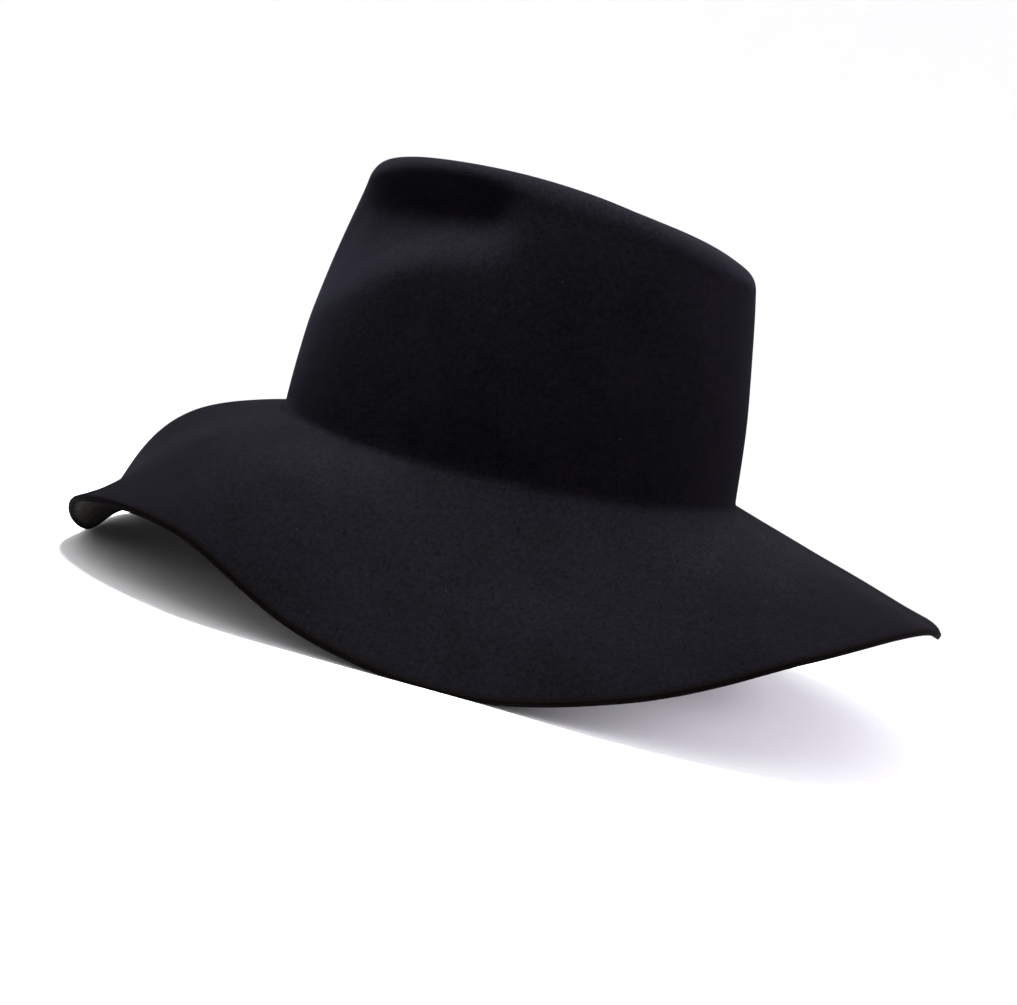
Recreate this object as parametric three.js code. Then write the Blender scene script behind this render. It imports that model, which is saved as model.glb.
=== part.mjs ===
// A fedora: one piece of blocked wool felt, with a creased and pinched crown and a wide soft brim.
//
// Millimetres, +Z up. The hat faces -Y and its wearer's left is +X. It rests by itself on a level
// surface at z = 0: on both sides of the brim and on the brim's front edge, leaning a little forward.
//
// The outer face of the felt is a grid of rings and columns. A column runs from the middle of the
// crown's top, over the top edge, down the wall and out along the brim, in one upright plane or
// close to one. The inner face is the outer one moved in by the thickness of the felt.

import * as THREE from 'three';

// Felt
const FELT = 2.8;

// Crown, measured outside the felt and above the plane of the crown's foot
const HEAD_LENGTH = 206;
const HEAD_WIDTH = 170;
const TOP_LENGTH = 176;
const TOP_WIDTH = 132;
const TOP_SET_BACK = 1; // how far the middle of the top lies behind the middle of the head oval
const TOP_TAPER = 0.12; // how much narrower the top is towards the front, as a share of its width
const TOP_FRONT = 112;
const TOP_MIDDLE = 121.5;
const TOP_BACK = 99;
const TOP_EDGE_ROUND_FRONT = 11;
const TOP_EDGE_ROUND_BACK = 7;
const TOP_EDGE_ROUND_SIDE = 15;
const FRONT_SWELL = 3; // how far the wall swells out of the straight, halfway up
const BACK_SWELL = 1.5;
const SIDE_SWELL = 3;
const FOOT_ROUND = 2.2;

// Crease along the middle of the top
const CREASE_DEPTH = 26;
const CREASE_FRONT_DEPTH = 13; // where the crease runs out between the pinches
const CREASE_FRONT_SHARE = 0.3; // share of the top's length in which the crease deepens from there
const CREASE_BACK_FADE = 0.35; // share of the top's length in which the crease fades at the back
const CREASE_FLOOR = 0.12; // share of the top, from its middle, in which the crease is at its deepest

// Pinch in each side of the crown, at sections every 15 degrees from the front: how deep the felt
// goes in, how high the deepest line lies, and how far the pinch reaches above and below that line
const PINCH_STEP = 15;
const PINCH_ROLL = 0.75; // power below 1 that keeps the overhang steepest near the deepest line
const PINCH_FADE = 3; // power by which the push of the pinch dies out towards the middle of the top
const PINCH = [
  { angle: 0, depth: 0, line: 91, above: 25, below: 56 },
  { angle: 15, depth: 6, line: 91, above: 25, below: 56 },
  { angle: 30, depth: 9, line: 93, above: 26, below: 52 },
  { angle: 45, depth: 11, line: 96, above: 26, below: 42 },
  { angle: 60, depth: 12, line: 98, above: 26, below: 30 },
  { angle: 75, depth: 9, line: 99, above: 25, below: 24 },
  { angle: 90, depth: 0, line: 99, above: 22, below: 20 },
];

// Brim, at sections every 20 degrees from the front: how far the crown's foot dips there, how wide
// the brim is, and its droop in degrees where it leaves the crown, a third and two thirds of the
// way out, and at its edge. On the wearer's right it droops by so many degrees more.
const BRIM_STEP = 20;
const BRIM = [
  { angle: 0, dip: 1, width: 105, root: 12, inner: 23, outer: 65, edge: 82, right: 0 },
  { angle: 20, dip: 3, width: 105, root: 14, inner: 28, outer: 57, edge: 66, right: 0 },
  { angle: 40, dip: 4, width: 107, root: 14, inner: 20, outer: 33, edge: 18, right: 0 },
  { angle: 60, dip: 6, width: 106, root: 16, inner: 19, outer: 23, edge: 23, right: 0 },
  { angle: 80, dip: 6, width: 106, root: 42, inner: 40, outer: 35, edge: 34, right: 0 },
  { angle: 100, dip: 5, width: 106, root: 50, inner: 47, outer: 40, edge: 41, right: 0 },
  { angle: 120, dip: 4, width: 106, root: 42, inner: 38, outer: 32, edge: 33, right: 0 },
  { angle: 140, dip: 2, width: 105, root: 25, inner: 22, outer: 19, edge: 19, right: 2 },
  { angle: 160, dip: 1, width: 104, root: 15, inner: 14, outer: 12, edge: 10, right: 6 },
  { angle: 180, dip: 1, width: 103, root: 16, inner: 17, outer: 18, edge: 18, right: 0 },
];

// Rest
const LEAN = 2.5; // degrees that the hat leans forward as it rests on its brim
const PRESSED = 3.4; // how far the lowest parts of the soft brim are pressed flat where it rests

// Grid
const COLUMNS = 60;
const TOP_RINGS = 8;
const TOP_EDGE_RINGS = 5;
const WALL_RINGS = 14;
const FOOT_RINGS = 2;
const BRIM_RINGS = 14;
const BRIM_STEPS_PER_RING = 6;

const radians = THREE.MathUtils.degToRad;
const clamp = THREE.MathUtils.clamp;
const smooth = THREE.MathUtils.smoothstep;
const mix = THREE.MathUtils.lerp;

// Value at a place between evenly spaced values, on a smooth curve through them. The curve ends
// level where the two sides of the hat mirror each other, and straight otherwise.
function valueAt(values, place, mirrored) {
  const last = values.length - 1;
  const from = clamp(Math.floor(place), 0, last - 1);
  const start = mirrored ? values[1] : 2 * values[0] - values[1];
  const end = mirrored ? values[last - 1] : 2 * values[last] - values[last - 1];
  const [a, b, c, d] = [start, ...values, end].slice(from, from + 4);
  const part = place - from;
  const slopeFrom = (c - a) / 2;
  const slopeTo = (d - b) / 2;
  const turn = 2 * (b - c) + slopeFrom + slopeTo;
  const bend = 3 * (c - b) - 2 * slopeFrom - slopeTo;
  return b + part * (slopeFrom + part * (bend + part * turn));
}

// Value of one column of a table at an angle from the front
function tableValue(table, column, step, angle) {
  return valueAt(table.map((row) => row[column]), angle / step, true);
}

// Point on the crown's foot at an angle from the front, and the level direction straight out from it
function footPoint(turn, angle) {
  const point = new THREE.Vector3(
    (HEAD_WIDTH / 2) * Math.sin(turn), (-HEAD_LENGTH / 2) * Math.cos(turn),
    -tableValue(BRIM, 'dip', BRIM_STEP, angle));
  const out = new THREE.Vector3(
    Math.sin(turn) / HEAD_WIDTH, -Math.cos(turn) / HEAD_LENGTH, 0).normalize();
  return { point, out };
}

// Share of the top's length that lies in front of y
function topShare(y) {
  return (y - TOP_SET_BACK) / TOP_LENGTH + 0.5;
}

// Height of the crown's top edge at y: a parabola through its front, middle and back heights
function topHeight(y) {
  const share = topShare(y);
  const straight = mix(TOP_FRONT, TOP_BACK, share);
  const rise = TOP_MIDDLE - (TOP_FRONT + TOP_BACK) / 2;
  return straight + rise * 4 * share * (1 - share);
}

// Point where the top and the wall would meet if the edge between them were sharp
function topEdgePoint(turn) {
  const x = (TOP_WIDTH / 2) * Math.sin(turn) * (1 - TOP_TAPER * Math.cos(turn));
  const y = TOP_SET_BACK - (TOP_LENGTH / 2) * Math.cos(turn);
  return new THREE.Vector3(x, y, topHeight(y));
}

// Point on the creased top, at a share of the way from its middle to its sharp edge
function topPoint(edge, share) {
  const x = edge.x * share;
  const y = mix(TOP_SET_BACK, edge.y, share);
  const along = topShare(y);
  const front = mix(CREASE_FRONT_DEPTH, CREASE_DEPTH, smooth(along, 0, CREASE_FRONT_SHARE));
  const depth = front * (1 - smooth(along, 1 - CREASE_BACK_FADE, 1));
  return new THREE.Vector3(x, y, topHeight(y) - depth * (1 - smooth(share, CREASE_FLOOR, 1)));
}

// Evenly spaced points on a curve, without its start
function curvePoints(curve, count) {
  return curve.getPoints(count).slice(1);
}

// How far the felt is pushed in at a height above the crown's foot and an angle from the front
function pinchDepth(angle, height) {
  if (angle >= PINCH[PINCH.length - 1].angle) return 0;
  const at = (column) => tableValue(PINCH, column, PINCH_STEP, angle);
  const line = at('line');
  const rise = smooth(height, line - at('below'), line);
  const roll = clamp((height - line) / at('above'), 0, 1) ** PINCH_ROLL;
  return at('depth') * rise * (1 - smooth(roll, 0, 1));
}

// Points of the brim's section, from where it leaves the crown to its edge: its droop is followed
// outwards in short steps
function brimPoints(angle, onRight, foot, startWidth) {
  const at = (column) => tableValue(BRIM, column, BRIM_STEP, angle);
  const more = onRight ? at('right') : 0;
  const droops = ['root', 'inner', 'outer', 'edge'].map((column) => radians(at(column) + more));
  const slope = (share) => valueAt(droops, share * (droops.length - 1), false);
  const root = slope(0);
  const width = at('width');
  const startShare = startWidth / width;
  const reach = new THREE.Vector2(startWidth * Math.cos(root), -startWidth * Math.sin(root));
  const points = [];
  const steps = BRIM_RINGS * BRIM_STEPS_PER_RING;
  const length = (width - startWidth) / steps;
  for (let step = 0; step <= steps; step += 1) {
    if (step % BRIM_STEPS_PER_RING === 0) {
      const point = foot.point.clone().addScaledVector(foot.out, reach.x);
      point.z += reach.y;
      points.push(point);
    }
    const droop = slope(mix(startShare, 1, (step + 0.5) / steps));
    reach.x += length * Math.cos(droop);
    reach.y -= length * Math.sin(droop);
  }
  return points;
}

// One column of the outer face, from the first ring round the middle of the top to the rim
function columnPoints(turn) {
  const angle = THREE.MathUtils.radToDeg(Math.min(turn, 2 * Math.PI - turn));
  const foot = footPoint(turn, angle);
  const edge = topEdgePoint(turn);
  const backShare = (1 - Math.cos(turn)) / 2;
  const sideShare = Math.sin(turn) ** 2;
  const topEdgeRound = mix(
    mix(TOP_EDGE_ROUND_FRONT, TOP_EDGE_ROUND_BACK, backShare), TOP_EDGE_ROUND_SIDE, sideShare);
  const topReach = Math.hypot(edge.x, edge.y - TOP_SET_BACK);
  const topShareEnd = 1 - topEdgeRound / topReach;

  const points = [];
  for (let ring = 1; ring <= TOP_RINGS; ring += 1) {
    points.push(topPoint(edge, (topShareEnd * ring) / TOP_RINGS));
  }

  const wallDown = foot.point.clone().sub(edge).normalize();
  const wallTop = edge.clone().addScaledVector(wallDown, topEdgeRound);
  const wallFoot = foot.point.clone().addScaledVector(wallDown, -FOOT_ROUND);
  const topEnd = points[points.length - 1];
  points.push(...curvePoints(new THREE.QuadraticBezierCurve3(topEnd, edge, wallTop), TOP_EDGE_RINGS));

  const swell = mix(mix(FRONT_SWELL, BACK_SWELL, backShare), SIDE_SWELL, sideShare);
  for (let ring = 1; ring <= WALL_RINGS; ring += 1) {
    const share = ring / WALL_RINGS;
    const point = wallTop.clone().lerp(wallFoot, share);
    points.push(point.addScaledVector(foot.out, swell * 4 * share * (1 - share)));
  }

  const brim = brimPoints(angle, turn > Math.PI, foot, FOOT_ROUND);
  points.push(...curvePoints(new THREE.QuadraticBezierCurve3(wallFoot, foot.point, brim[0]), FOOT_RINGS));
  points.push(...brim.slice(1));

  points.forEach((point, ring) => {
    const share = Math.min((ring + 1) / TOP_RINGS, 1) ** PINCH_FADE;
    point.addScaledVector(foot.out, -pinchDepth(angle, point.z) * share);
  });
  return points;
}

// The whole outer face: its middle point and its columns, leaning forward as it rests
function outerFace() {
  const lean = new THREE.Matrix4().makeRotationX(radians(LEAN));
  const columns = [];
  for (let column = 0; column < COLUMNS; column += 1) {
    columns.push(columnPoints((2 * Math.PI * column) / COLUMNS));
  }
  const middle = new THREE.Vector3(0, TOP_SET_BACK, topHeight(TOP_SET_BACK) - CREASE_DEPTH);
  for (const point of [middle, ...columns.flat()]) {
    point.applyMatrix4(lean);
  }
  return { middle, columns };
}

// Triangles of one face: a fan round the middle point and strips between the columns
function faceTriangles(ringCount, firstIndex) {
  const triangles = [];
  const index = (column, ring) => firstIndex + 1 + (column % COLUMNS) * ringCount + ring;
  for (let column = 0; column < COLUMNS; column += 1) {
    triangles.push([firstIndex, index(column, 0), index(column + 1, 0)]);
    for (let ring = 0; ring < ringCount - 1; ring += 1) {
      const [a, b] = [index(column, ring), index(column, ring + 1)];
      const [c, d] = [index(column + 1, ring + 1), index(column + 1, ring)];
      triangles.push([a, b, c], [a, c, d]);
    }
  }
  return triangles;
}

function feltGeometry() {
  const { middle, columns } = outerFace();
  const ringCount = columns[0].length;
  const outer = [middle, ...columns.flat()];
  const outerTriangles = faceTriangles(ringCount, 0);

  // The direction out of the felt at each point, from the faces that meet there
  const face = new THREE.BufferGeometry().setFromPoints(outer);
  face.setIndex(outerTriangles.flat());
  face.computeVertexNormals();
  const normals = face.getAttribute('normal');
  const inner = outer.map((point, index) => point.clone().addScaledVector(
    new THREE.Vector3().fromBufferAttribute(normals, index), -FELT));

  const innerTriangles = faceTriangles(ringCount, outer.length).map(([a, b, c]) => [a, c, b]);
  const rimTriangles = [];
  for (let column = 0; column < COLUMNS; column += 1) {
    const here = (column + 1) * ringCount;
    const next = (((column + 1) % COLUMNS) + 1) * ringCount;
    rimTriangles.push([here, here + outer.length, next + outer.length], [here, next + outer.length, next]);
  }

  // The lowest parts are pressed flat on the surface that the hat rests on
  const points = [...outer, ...inner];
  const lowest = Math.min(...points.map((point) => point.z));
  for (const point of points) {
    point.z = Math.max(point.z - lowest - PRESSED, 0);
  }

  const geometry = new THREE.BufferGeometry().setFromPoints(points);
  geometry.setIndex([...outerTriangles, ...innerTriangles, ...rimTriangles].flat());
  geometry.computeBoundingBox();
  const centre = geometry.boundingBox.getCenter(new THREE.Vector3());
  geometry.translate(-centre.x, -centre.y, 0);
  geometry.computeVertexNormals();
  return geometry;
}

const felt = new THREE.MeshStandardMaterial({ color: 0x14141c, roughness: 0.95, metalness: 0 });
const body = new THREE.Mesh(feltGeometry(), felt);
body.name = 'felt_body';

const group = new THREE.Group();
group.add(body);

export default group;
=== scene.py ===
"""A black felt fedora with a creased, pinched crown and a wide soft brim, resting on its brim.

The hat is one piece of blocked wool felt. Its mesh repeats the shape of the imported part, with more
columns and rings, a rounded cut edge and the small unevenness of soft felt. Lengths in the tables
are in millimetres and angles in degrees, and the meshes are in metres. The hat faces -Y.
"""

import math

import bpy
from mathutils import Matrix, Vector, noise


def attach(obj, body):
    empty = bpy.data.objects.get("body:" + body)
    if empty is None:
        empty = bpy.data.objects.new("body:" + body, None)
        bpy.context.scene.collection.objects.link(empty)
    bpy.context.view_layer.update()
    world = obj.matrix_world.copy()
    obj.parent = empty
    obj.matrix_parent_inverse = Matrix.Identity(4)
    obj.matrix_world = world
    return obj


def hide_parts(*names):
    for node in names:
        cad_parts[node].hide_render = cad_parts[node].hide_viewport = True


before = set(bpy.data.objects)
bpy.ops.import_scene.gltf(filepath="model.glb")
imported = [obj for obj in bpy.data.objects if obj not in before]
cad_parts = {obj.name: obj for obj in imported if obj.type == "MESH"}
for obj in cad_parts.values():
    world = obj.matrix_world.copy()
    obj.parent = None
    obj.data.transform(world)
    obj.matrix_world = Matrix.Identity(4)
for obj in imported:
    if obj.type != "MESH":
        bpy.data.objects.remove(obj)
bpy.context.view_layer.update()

MM = 0.001

# Felt
FELT = 2.8
EDGE_ROUND_RINGS = 6  # rings across the rounded cut edge

# Crown, measured outside the felt and above the plane of the crown's foot
HEAD_LENGTH = 206
HEAD_WIDTH = 170
TOP_LENGTH = 176
TOP_WIDTH = 132
TOP_SET_BACK = 1
TOP_TAPER = 0.12
TOP_FRONT = 112
TOP_MIDDLE = 121.5
TOP_BACK = 99
TOP_EDGE_ROUND_FRONT = 11
TOP_EDGE_ROUND_BACK = 7
TOP_EDGE_ROUND_SIDE = 15
FRONT_SWELL = 3
BACK_SWELL = 1.5
SIDE_SWELL = 3
FOOT_ROUND = 2.2

# Crease along the middle of the top
CREASE_DEPTH = 26
CREASE_FRONT_DEPTH = 13
CREASE_FRONT_SHARE = 0.3
CREASE_BACK_FADE = 0.35
CREASE_FLOOR = 0.12

# Pinch in each side of the crown, at sections every 15 degrees from the front: how deep the felt
# goes in, how high its deepest line lies, and how far it reaches above and below that line
PINCH_STEP = 15
PINCH_ROLL = 0.75  # power below 1 that keeps the overhang steepest near the deepest line
PINCH_FADE = 3  # power by which the push of the pinch dies out towards the middle of the top
PINCH = {
    "depth": (0, 6, 9, 11, 12, 9, 0),
    "line": (91, 91, 93, 96, 98, 99, 99),
    "above": (25, 25, 26, 26, 26, 25, 22),
    "below": (56, 56, 52, 42, 30, 24, 20),
}

# Brim, at sections every 20 degrees from the front: the dip of the crown's foot, the width, the
# droop where it leaves the crown, a third and two thirds of the way out and at the edge, and the
# extra droop on the wearer's right
BRIM_STEP = 20
BRIM = {
    "dip": (1, 3, 4, 6, 6, 5, 4, 2, 1, 1),
    "width": (105, 105, 107, 106, 106, 106, 106, 105, 104, 103),
    "root": (12, 14, 14, 16, 42, 50, 42, 25, 15, 16),
    "inner": (23, 28, 20, 19, 40, 47, 38, 22, 14, 17),
    "outer": (65, 57, 33, 23, 35, 40, 32, 19, 12, 18),
    "edge": (82, 66, 18, 23, 34, 41, 33, 19, 10, 18),
    "right": (0, 0, 0, 0, 0, 0, 0, 2, 6, 0),
}

# Rest
LEAN = 2.5
PRESSED = 1.2  # how far the lowest parts of the brim give way

# Grid
COLUMNS = 180
TOP_RINGS = 22
TOP_EDGE_RINGS = 10
WALL_RINGS = 36
FOOT_RINGS = 8
BRIM_RINGS = 40
BRIM_STEPS_PER_RING = 3

# Softness of the felt: how far the face stands off its even shape, and over what distance
CROWN_UNEVEN = 0.35
BRIM_UNEVEN = 0.5
UNEVEN_WAVE = 46
NOISE_REACH = 0.5  # how far the noise mostly reaches from 0
EDGE_BULGE = 0.8  # how far the worn cut edge stands out past the square one

# Felt surface: how many spots of each kind a metre holds
PATCH_SCALE = 28.0
GRAIN_SCALE = 700.0
FIBRE_SCALE = 1500.0
DIMPLE_SCALE = 160.0
LINT_SCALE = 60.0
LINT_SIZE = 0.024  # radius of a speck, as a share of the cell of space that holds it

# Felt colours. The grain multiplies the patches, and the inside factor multiplies both. The inside
# factor is partly the lighter, warmer tone of the unbrushed underside and partly painted light that
# brightens the shaded underside.
PATCH_DARK = (0.00091, 0.00088, 0.00112)
PATCH_LIGHT = (0.00158, 0.0013, 0.00184)
GRAIN_DARK = (0.13, 0.13, 0.11)
GRAIN_LIGHT = (2.7, 2.65, 2.75)
NOISE_DARK_END = 0.3  # values of the noise at which the dark colour ends and the light one begins
NOISE_LIGHT_END = 0.7
INSIDE_TONE_AND_PAINTED_LIGHT = (30.0, 29.0, 18.0, 1)
# Brownish cut felt, darkened further as painted shade along the edge of the rim.
CUT_EDGE_TONE_AND_PAINTED_SHADE = (0.0014, 0.0008, 0.0007, 1)
LINT_COLOUR = (0.012, 0.012, 0.012, 1)

# Felt gloss and relief
FELT_ROUGHNESS = 0.92
FELT_GLOSS = 0.012
SHEEN_WEIGHT = 0.008
SHEEN_ROUGHNESS = 0.5
SHEEN_TINT = (0.62, 0.6, 0.9, 1)
NAP_STRENGTH = 0.55
NAP_HEIGHT = 0.00025
DIMPLE_STRENGTH = 0.35
DIMPLE_HEIGHT = 0.0006

# Camera: where it stands and what it looks at, in metres and degrees
VIEW_TARGET = (0.0014, -0.0115, 0.057)
VIEW_AZIMUTH = 98.3
VIEW_ELEVATION = 7.05
VIEW_ROLL = 15.4
VIEW_DISTANCE = 1.0
LENS = 79.65
SENSOR_WIDTH = 36

# Stage, in metres: a round floor that curves up into a low wall all the way round
FLOOR_RADIUS = 1.6
WALL_CURVE = 0.9
WALL_CURVE_STEPS = 16
WALL_HEIGHT = 2.4
STAGE_SEGMENTS = 128
FLOOR_COLOUR = (0.86, 0.86, 0.87, 1)
FLOOR_ROUGHNESS = 0.95
FLOOR_GLOSS = 0.1

# Light: white light from all round, a small softbox above and in front, and a weak one behind.
# Places and sizes are in metres, powers in watts and spreads in degrees.
AROUND_STRENGTH = 1.5
SOFTBOXES = (
    {
        "name": "softbox_top",
        "place": (0.01, -0.10, 0.62),
        "size": 0.25,
        "power": 2.7,
        "spread": 45,
        "colour": (0.93, 1.0, 1.04),
    },
    {
        "name": "softbox_back",
        "place": (0.02, 0.55, 0.35),
        "size": 0.3,
        "power": 0.45,
        "spread": 40,
        "colour": (1.0, 0.95, 1.1),
    },
)


def share_between(value, low, high):
    """Share of the way from low to high, from 0 to 1."""
    return min(max((value - low) / (high - low), 0), 1)


def smooth(value, low, high):
    """Share from 0 to 1 that eases in at low and out at high."""
    share = share_between(value, low, high)
    return share * share * (3 - 2 * share)


def mix(low, high, share):
    return low + (high - low) * share


def value_at(values, place, mirrored):
    """Value at a place between evenly spaced values, on a smooth curve through them.

    The curve ends level where the two sides of the hat mirror each other, and straight otherwise.
    """
    last = len(values) - 1
    start = min(max(math.floor(place), 0), last - 1)
    before = values[1] if mirrored else 2 * values[0] - values[1]
    after = values[last - 1] if mirrored else 2 * values[last] - values[last - 1]
    a, b, c, d = (before, *values, after)[start:start + 4]
    part = place - start
    slope_from = (c - a) / 2
    slope_to = (d - b) / 2
    turn = 2 * (b - c) + slope_from + slope_to
    bend = 3 * (c - b) - 2 * slope_from - slope_to
    return b + part * (slope_from + part * (bend + part * turn))


def foot_point(turn, angle):
    """Point on the crown's foot, and the level direction straight out from it."""
    dip = value_at(BRIM["dip"], angle / BRIM_STEP, True)
    point = Vector((HEAD_WIDTH / 2 * math.sin(turn), -HEAD_LENGTH / 2 * math.cos(turn), -dip))
    out = Vector((math.sin(turn) / HEAD_WIDTH, -math.cos(turn) / HEAD_LENGTH, 0)).normalized()
    return point, out


def top_share(y):
    """Share of the top's length that lies in front of y."""
    return (y - TOP_SET_BACK) / TOP_LENGTH + 0.5


def top_height(y):
    """Height of the top edge at y: a parabola through its front, middle and back heights."""
    share = top_share(y)
    rise = TOP_MIDDLE - (TOP_FRONT + TOP_BACK) / 2
    return mix(TOP_FRONT, TOP_BACK, share) + rise * 4 * share * (1 - share)


def top_edge_point(turn):
    """Point where the top and the wall would meet if the edge between them were sharp."""
    x = TOP_WIDTH / 2 * math.sin(turn) * (1 - TOP_TAPER * math.cos(turn))
    y = TOP_SET_BACK - TOP_LENGTH / 2 * math.cos(turn)
    return Vector((x, y, top_height(y)))


def top_point(edge, share):
    """Point on the creased top, at a share of the way from its middle to its sharp edge."""
    y = mix(TOP_SET_BACK, edge.y, share)
    along = top_share(y)
    front = mix(CREASE_FRONT_DEPTH, CREASE_DEPTH, smooth(along, 0, CREASE_FRONT_SHARE))
    depth = front * (1 - smooth(along, 1 - CREASE_BACK_FADE, 1))
    height = top_height(y) - depth * (1 - smooth(share, CREASE_FLOOR, 1))
    return Vector((edge.x * share, y, height))


def bend_points(start, corner, end, count):
    """Evenly spaced points, without the first, on the bend from start to end round a corner."""
    points = []
    for step in range(1, count + 1):
        share = step / count
        points.append(start.lerp(corner, share).lerp(corner.lerp(end, share), share))
    return points


def pinch_depth(angle, height):
    """How far the felt is pushed in at a height above the crown's foot."""
    place = angle / PINCH_STEP
    if place >= len(PINCH["depth"]) - 1:
        return 0
    line = value_at(PINCH["line"], place, True)
    rise = smooth(height, line - value_at(PINCH["below"], place, True), line)
    above = value_at(PINCH["above"], place, True)
    fall = 1 - smooth(share_between(height, line, line + above) ** PINCH_ROLL, 0, 1)
    return value_at(PINCH["depth"], place, True) * rise * fall


def brim_points(angle, on_right, foot, out):
    """Points of the brim's section, from where it leaves the crown to its edge."""
    place = angle / BRIM_STEP
    more = value_at(BRIM["right"], place, True) if on_right else 0
    droops = [
        math.radians(value_at(BRIM[column], place, True) + more)
        for column in ("root", "inner", "outer", "edge")
    ]
    width = value_at(BRIM["width"], place, True)
    root = value_at(droops, 0, False)
    reach = FOOT_ROUND * math.cos(root)
    fall = FOOT_ROUND * math.sin(root)
    steps = BRIM_RINGS * BRIM_STEPS_PER_RING
    length = (width - FOOT_ROUND) / steps
    points = []
    for step in range(steps + 1):
        if step % BRIM_STEPS_PER_RING == 0:
            points.append(foot + out * reach - Vector((0, 0, fall)))
        share = mix(FOOT_ROUND / width, 1, (step + 0.5) / steps)
        droop = value_at(droops, share * (len(droops) - 1), False)
        reach += length * math.cos(droop)
        fall += length * math.sin(droop)
    return points


def column_points(turn):
    """One column of the outer face, from the first ring round the middle of the top to the rim."""
    angle = math.degrees(min(turn, 2 * math.pi - turn))
    foot, out = foot_point(turn, angle)
    edge = top_edge_point(turn)
    back_share = (1 - math.cos(turn)) / 2
    side_share = math.sin(turn) ** 2
    edge_round = mix(
        mix(TOP_EDGE_ROUND_FRONT, TOP_EDGE_ROUND_BACK, back_share), TOP_EDGE_ROUND_SIDE, side_share)
    top_end_share = 1 - edge_round / math.hypot(edge.x, edge.y - TOP_SET_BACK)
    points = [
        top_point(edge, top_end_share * ring / TOP_RINGS) for ring in range(1, TOP_RINGS + 1)
    ]

    down = (foot - edge).normalized()
    wall_top = edge + down * edge_round
    wall_foot = foot - down * FOOT_ROUND
    points += bend_points(points[-1], edge, wall_top, TOP_EDGE_RINGS)

    swell = mix(mix(FRONT_SWELL, BACK_SWELL, back_share), SIDE_SWELL, side_share)
    for ring in range(1, WALL_RINGS + 1):
        share = ring / WALL_RINGS
        points.append(wall_top.lerp(wall_foot, share) + out * (swell * 4 * share * (1 - share)))

    brim = brim_points(angle, turn > math.pi, foot, out)
    points += bend_points(wall_foot, foot, brim[0], FOOT_RINGS)
    points += brim[1:]
    return [
        point - out * (pinch_depth(angle, point.z) * min((ring + 1) / TOP_RINGS, 1) ** PINCH_FADE)
        for ring, point in enumerate(points)
    ]


def face_normals(columns, middle):
    """The direction out of the felt at each point of the outer face."""
    count = len(columns)
    normals = []
    for index, column in enumerate(columns):
        before = columns[index - 1]
        after = columns[(index + 1) % count]
        row = []
        for ring, point in enumerate(column):
            inner = column[ring - 1] if ring > 0 else middle
            outer = column[ring + 1] if ring + 1 < len(column) else point
            row.append((outer - inner).cross(after[ring] - before[ring]).normalized())
        normals.append(row)
    return normals


def uneven(point, amount):
    """How far soft felt stands off its even shape at a point."""
    return amount * noise.noise(point / UNEVEN_WAVE) / NOISE_REACH


def felt_rings():
    """The columns of the whole closed skin: outer face, rounded cut edge and inner face.

    Returns the middle points of the outer and the inner face, the columns, and for each ring how
    much it belongs to the inner face and to the cut edge.
    """
    columns = [column_points(2 * math.pi * index / COLUMNS) for index in range(COLUMNS)]
    middle = Vector((0, TOP_SET_BACK, top_height(TOP_SET_BACK) - CREASE_DEPTH))
    normals = face_normals(columns, middle)
    brim_start = len(columns[0]) - BRIM_RINGS
    for column, row in zip(columns, normals):
        for ring, normal in enumerate(row):
            on_brim = smooth(ring, brim_start - FOOT_RINGS, brim_start + BRIM_RINGS / 2)
            amount = mix(CROWN_UNEVEN, BRIM_UNEVEN, on_brim)
            column[ring] = column[ring] + normal * uneven(column[ring], amount)
    normals = face_normals(columns, middle)

    outer_count = len(columns[0])
    skins = []
    for column, row in zip(columns, normals):
        inner = [point - normal * FELT for point, normal in zip(column, row)]
        outwards = (column[-1] - column[-2]).normalized()
        edge = []
        for step in range(1, EDGE_ROUND_RINGS):
            swing = math.pi * step / EDGE_ROUND_RINGS
            across = (1 - math.cos(swing)) / 2
            bulge = EDGE_BULGE * math.sqrt(math.sin(swing))
            edge.append(column[-1].lerp(inner[-1], across) + outwards * bulge)
        skins.append(column + edge + inner[::-1])
    inside = [0.0] * outer_count + [0.5] * (EDGE_ROUND_RINGS - 1) + [1.0] * outer_count
    cut = [0.0] * (outer_count - 1) + [1.0] * (EDGE_ROUND_RINGS + 1) + [0.0] * (outer_count - 1)
    middle_inside = middle - Vector((0, 0, FELT))
    return middle, middle_inside, skins, inside, cut


def rest_points(points):
    """The points as the hat rests, in metres: leaning, and pressed flat where it is lowest."""
    lean = Matrix.Rotation(math.radians(LEAN), 3, "X")
    leaned = [lean @ point for point in points]
    drop = min(point.z for point in leaned) + PRESSED
    centre_y = (min(point.y for point in leaned) + max(point.y for point in leaned)) / 2
    return [
        Vector((point.x, point.y - centre_y, max(point.z - drop, 0))) * MM
        for point in leaned
    ]


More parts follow.
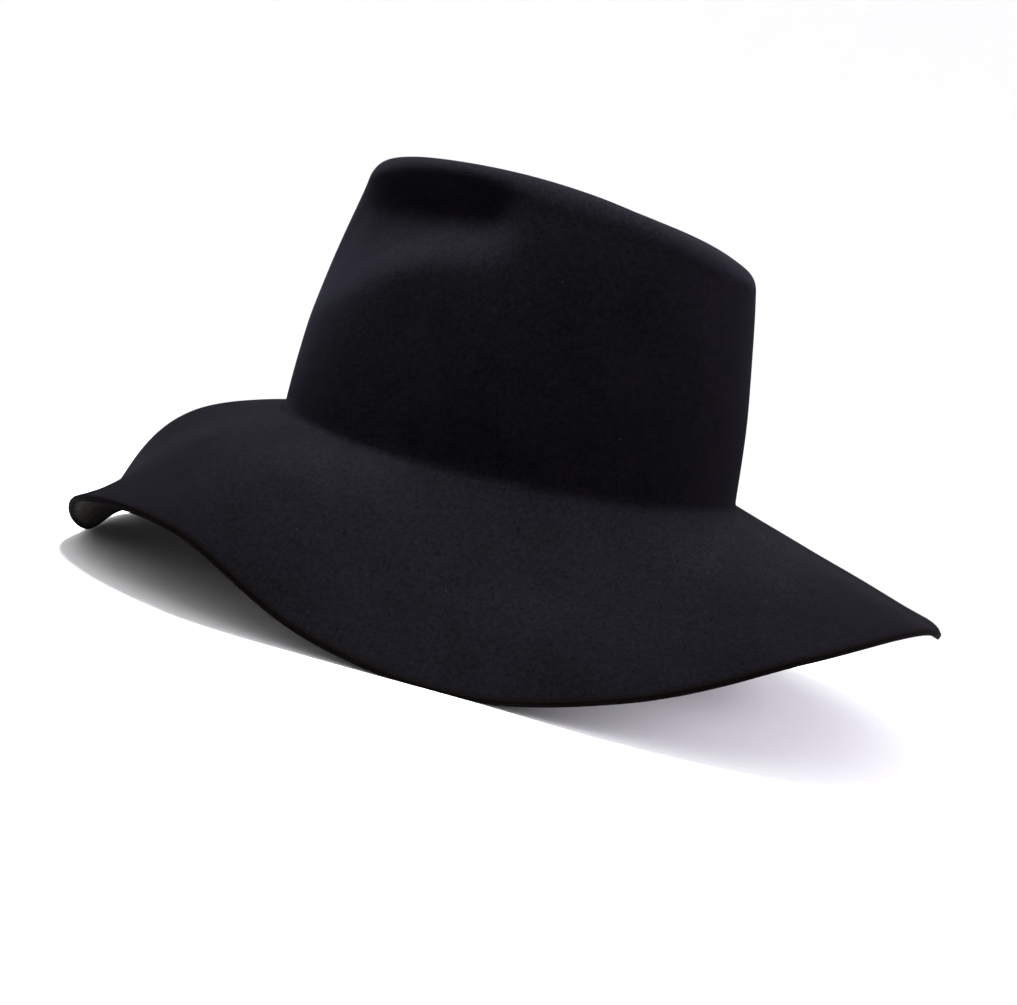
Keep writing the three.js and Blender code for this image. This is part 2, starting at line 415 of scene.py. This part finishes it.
def felt_mesh():
    """The hat's closed mesh, with the inside and the cut edge marked for its material."""
    middle, middle_inside, skins, inside, cut = felt_rings()
    ring_count = len(skins[0])
    points = [middle, middle_inside]
    for skin in skins:
        points += skin

    def index(column, ring):
        return 2 + (column % COLUMNS) * ring_count + ring

    faces = []
    for column in range(COLUMNS):
        faces.append((0, index(column, 0), index(column + 1, 0)))
        faces.append((1, index(column + 1, ring_count - 1), index(column, ring_count - 1)))
        for ring in range(ring_count - 1):
            faces.append((
                index(column, ring),
                index(column, ring + 1),
                index(column + 1, ring + 1),
                index(column + 1, ring),
            ))

    mesh = bpy.data.meshes.new("felt_hat")
    mesh.from_pydata(rest_points(points), [], faces)
    for name, values, ends in (("inside", inside, (0.0, 1.0)), ("cut_edge", cut, (0.0, 0.0))):
        attribute = mesh.attributes.new(name, "FLOAT", "POINT")
        attribute.data.foreach_set("value", [*ends, *(values * COLUMNS)])
    mesh.shade_smooth()
    return mesh


def add(nodes, kind, **sockets):
    """A shader node, with values for its input sockets."""
    node = nodes.new(kind)
    for name, value in sockets.items():
        node.inputs[name.replace("_", " ")].default_value = value
    return node


def felt_material():
    """Brushed wool felt: soft patches, fine grain, a few specks of lint and a velvety sheen."""
    material = bpy.data.materials.new("wool_felt")
    material.use_nodes = True
    nodes = material.node_tree.nodes
    link = material.node_tree.links.new
    shader = nodes["Principled BSDF"]
    shader.inputs["Roughness"].default_value = FELT_ROUGHNESS
    shader.inputs["Specular IOR Level"].default_value = FELT_GLOSS
    shader.inputs["Sheen Weight"].default_value = SHEEN_WEIGHT
    shader.inputs["Sheen Roughness"].default_value = SHEEN_ROUGHNESS
    shader.inputs["Sheen Tint"].default_value = SHEEN_TINT

    place = nodes.new("ShaderNodeTexCoord").outputs["Object"]

    def noise_output(scale, detail, roughness, distortion):
        texture = add(nodes, "ShaderNodeTexNoise", Scale=scale, Detail=detail,
                      Roughness=roughness, Distortion=distortion)
        link(place, texture.inputs["Vector"])
        return texture.outputs["Fac"]

    def ramp(factor, dark, light):
        node = nodes.new("ShaderNodeValToRGB")
        stops = ((NOISE_DARK_END, dark), (NOISE_LIGHT_END, light))
        for element, (position, colour) in zip(node.color_ramp.elements, stops):
            element.position = position
            element.color = (*colour, 1)
        link(factor, node.inputs["Fac"])
        return node.outputs["Color"]

    def blend(kind, factor, first, second):
        node = nodes.new("ShaderNodeMix")
        node.data_type = "RGBA"
        node.blend_type = kind
        for name, value in (("Factor_Float", factor), ("A_Color", first), ("B_Color", second)):
            socket = next(item for item in node.inputs if item.identifier == name)
            if isinstance(value, (float, tuple)):
                socket.default_value = value
            else:
                link(value, socket)
        return next(item for item in node.outputs if item.identifier == "Result_Color")

    def attribute(name):
        node = nodes.new("ShaderNodeAttribute")
        node.attribute_name = name
        return node.outputs["Fac"]

    patch_noise = noise_output(PATCH_SCALE, detail=4, roughness=0.6, distortion=0.4)
    grain_noise = noise_output(GRAIN_SCALE, detail=4, roughness=0.75, distortion=0.8)
    patches = ramp(patch_noise, PATCH_DARK, PATCH_LIGHT)
    grain = ramp(grain_noise, GRAIN_DARK, GRAIN_LIGHT)
    outside = blend("MULTIPLY", 1.0, patches, grain)
    # Painted light: the inner face is made much lighter as well as warmer, standing in for light on
    # the shaded underside.
    inside = blend("MULTIPLY", 1.0, outside, INSIDE_TONE_AND_PAINTED_LIGHT)
    colour = blend("MIX", attribute("inside"), outside, inside)
    # Painted shade: the cut edge is darkened along the rim, over its brownish felt tone.
    colour = blend("MIX", attribute("cut_edge"), colour, CUT_EDGE_TONE_AND_PAINTED_SHADE)

    lint = add(nodes, "ShaderNodeTexVoronoi", Scale=LINT_SCALE)
    link(place, lint.inputs["Vector"])
    speck = nodes.new("ShaderNodeMath")
    speck.operation = "LESS_THAN"
    speck.inputs[1].default_value = LINT_SIZE
    link(lint.outputs["Distance"], speck.inputs[0])
    colour = blend("MIX", speck.outputs["Value"], colour, LINT_COLOUR)
    link(colour, shader.inputs["Base Color"])

    fibre_noise = noise_output(FIBRE_SCALE, detail=5, roughness=0.7, distortion=1.5)
    nap = add(nodes, "ShaderNodeBump", Strength=NAP_STRENGTH, Distance=NAP_HEIGHT)
    link(fibre_noise, nap.inputs["Height"])
    dimple_noise = noise_output(DIMPLE_SCALE, detail=3, roughness=0.6, distortion=0.2)
    dimples = add(nodes, "ShaderNodeBump", Strength=DIMPLE_STRENGTH, Distance=DIMPLE_HEIGHT)
    link(dimple_noise, dimples.inputs["Height"])
    link(nap.outputs["Normal"], dimples.inputs["Normal"])
    link(dimples.outputs["Normal"], shader.inputs["Normal"])
    return material


def stage_mesh():
    """The floor and the low wall that it curves up into, turned about the middle."""
    profile = [(0, 0), (FLOOR_RADIUS / 2, 0)]
    for step in range(WALL_CURVE_STEPS + 1):
        swing = math.pi / 2 * step / WALL_CURVE_STEPS
        profile.append((
            FLOOR_RADIUS + WALL_CURVE * math.sin(swing),
            WALL_CURVE * (1 - math.cos(swing)),
        ))
    profile.append((FLOOR_RADIUS + WALL_CURVE, WALL_HEIGHT))

    points = [(0, 0, 0)]
    faces = []
    for segment in range(STAGE_SEGMENTS):
        turn = 2 * math.pi * segment / STAGE_SEGMENTS
        for radius, height in profile[1:]:
            points.append((radius * math.cos(turn), radius * math.sin(turn), height))
    count = len(profile) - 1
    for segment in range(STAGE_SEGMENTS):
        here = 1 + segment * count
        there = 1 + (segment + 1) % STAGE_SEGMENTS * count
        faces.append((0, here, there))
        for step in range(count - 1):
            faces.append((here + step, here + step + 1, there + step + 1, there + step))
    mesh = bpy.data.meshes.new("stage")
    mesh.from_pydata(points, [], faces)
    mesh.shade_smooth()
    return mesh


def add_object(name, data):
    thing = bpy.data.objects.new(name, data)
    bpy.context.scene.collection.objects.link(thing)
    return thing


def add_softbox(softbox):
    """A square area light that faces the hat."""
    data = bpy.data.lights.new(softbox["name"], "AREA")
    data.color = softbox["colour"]
    data.size = softbox["size"]
    data.energy = softbox["power"]
    data.spread = math.radians(softbox["spread"])
    light = add_object(softbox["name"], data)
    light.location = softbox["place"]
    towards = Vector(VIEW_TARGET) - light.location
    light.rotation_euler = towards.to_track_quat("-Z", "Y").to_euler()


def add_camera():
    data = bpy.data.cameras.new("camera")
    data.lens = LENS
    data.sensor_width = SENSOR_WIDTH
    camera = add_object("camera", data)
    azimuth = math.radians(VIEW_AZIMUTH)
    elevation = math.radians(VIEW_ELEVATION)
    back = Vector((
        math.sin(azimuth) * math.cos(elevation),
        -math.cos(azimuth) * math.cos(elevation),
        math.sin(elevation),
    ))
    camera.location = Vector(VIEW_TARGET) + back * VIEW_DISTANCE
    level = (-back).to_track_quat("-Z", "Y").to_matrix()
    roll = Matrix.Rotation(math.radians(VIEW_ROLL), 3, "Z")
    camera.rotation_euler = (level @ roll).to_euler()
    bpy.context.scene.camera = camera


hat = add_object("felt_hat", felt_mesh())
hat.data.materials.append(felt_material())
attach(hat, "root")
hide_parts("felt_body")

floor = add_object("floor", stage_mesh())
floor_material = bpy.data.materials.new("pale_floor")
floor_material.use_nodes = True
floor_shader = floor_material.node_tree.nodes["Principled BSDF"]
floor_shader.inputs["Base Color"].default_value = FLOOR_COLOUR
floor_shader.inputs["Roughness"].default_value = FLOOR_ROUGHNESS
floor_shader.inputs["Specular IOR Level"].default_value = FLOOR_GLOSS
floor.data.materials.append(floor_material)

for softbox in SOFTBOXES:
    add_softbox(softbox)
add_camera()

world = bpy.data.worlds.new("studio")
world.use_nodes = True
background = world.node_tree.nodes["Background"]
background.inputs["Color"].default_value = (1, 1, 1, 1)
background.inputs["Strength"].default_value = AROUND_STRENGTH
bpy.context.scene.world = world
bpy.context.scene.view_settings.view_transform = "Standard"
